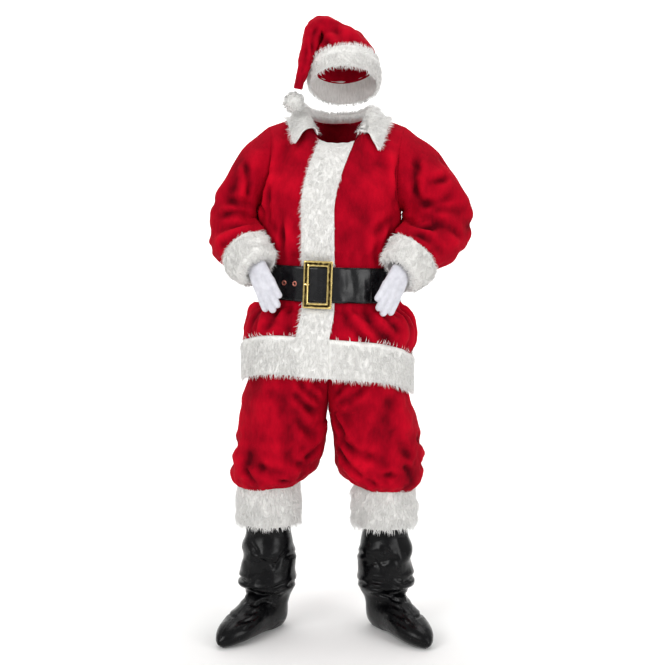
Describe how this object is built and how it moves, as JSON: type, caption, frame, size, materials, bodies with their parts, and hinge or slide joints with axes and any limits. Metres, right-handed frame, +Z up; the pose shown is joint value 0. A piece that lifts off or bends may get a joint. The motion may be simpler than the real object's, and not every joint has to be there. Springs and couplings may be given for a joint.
{
  "type": "santa suit, worn, with hat, belt, gloves and boot covers",
  "caption": "Plush costume suit in a standing pose: fur-trimmed jacket with wide belt, gathered trousers, slouching hat, gloves and boot covers, hollow where a wearer stands",
  "frame": {"origin": "the middle of the neck opening, where the wearer carries the suit", "axes": "+X is the wearer's left, -Y is the way the wearer faces, +Z is up"},
  "size_m": [0.7941, 0.4177, 1.8813],
  "materials": {
    "red_plush": "short-pile plush, crushed nap",
    "white_fur": "long-pile faux fur",
    "black_vinyl": "glossy coated vinyl",
    "brass": "antique brass plating, satin",
    "copper": "copper plating, satin",
    "white_knit": "fine knitted nylon, matt"
  },
  "bodies": {
    "root": {"jacket_front_left": "red_plush", "jacket_front_right": "red_plush", "jacket_back": "red_plush", "sleeve_left": "red_plush", "sleeve_right": "red_plush", "trouser_left_front": "red_plush", "trouser_left_back": "red_plush", "trouser_right_front": "red_plush", "trouser_right_back": "red_plush", "trouser_waistband": "red_plush", "hat_front": "red_plush", "hat_back": "red_plush", "placket_fur": "white_fur", "hem_fur_front_left": "white_fur", "hem_fur_front_right": "white_fur", "hem_fur_back": "white_fur", "collar_fur": "white_fur", "cuff_fur_left": "white_fur", "cuff_fur_right": "white_fur", "trouser_cuff_fur_left": "white_fur", "trouser_cuff_fur_right": "white_fur", "hat_band_fur": "white_fur", "hat_pompom": "white_fur", "belt_strap": "black_vinyl", "boot_cover_left_a": "black_vinyl", "boot_cover_left_b": "black_vinyl", "boot_cover_right_a": "black_vinyl", "boot_cover_right_b": "black_vinyl", "belt_buckle": "brass", "belt_prong": "brass", "belt_eyelet_1": "copper", "belt_eyelet_2": "copper", "glove_left": "white_knit", "glove_right": "white_knit"}
  },
  "joints": []
}
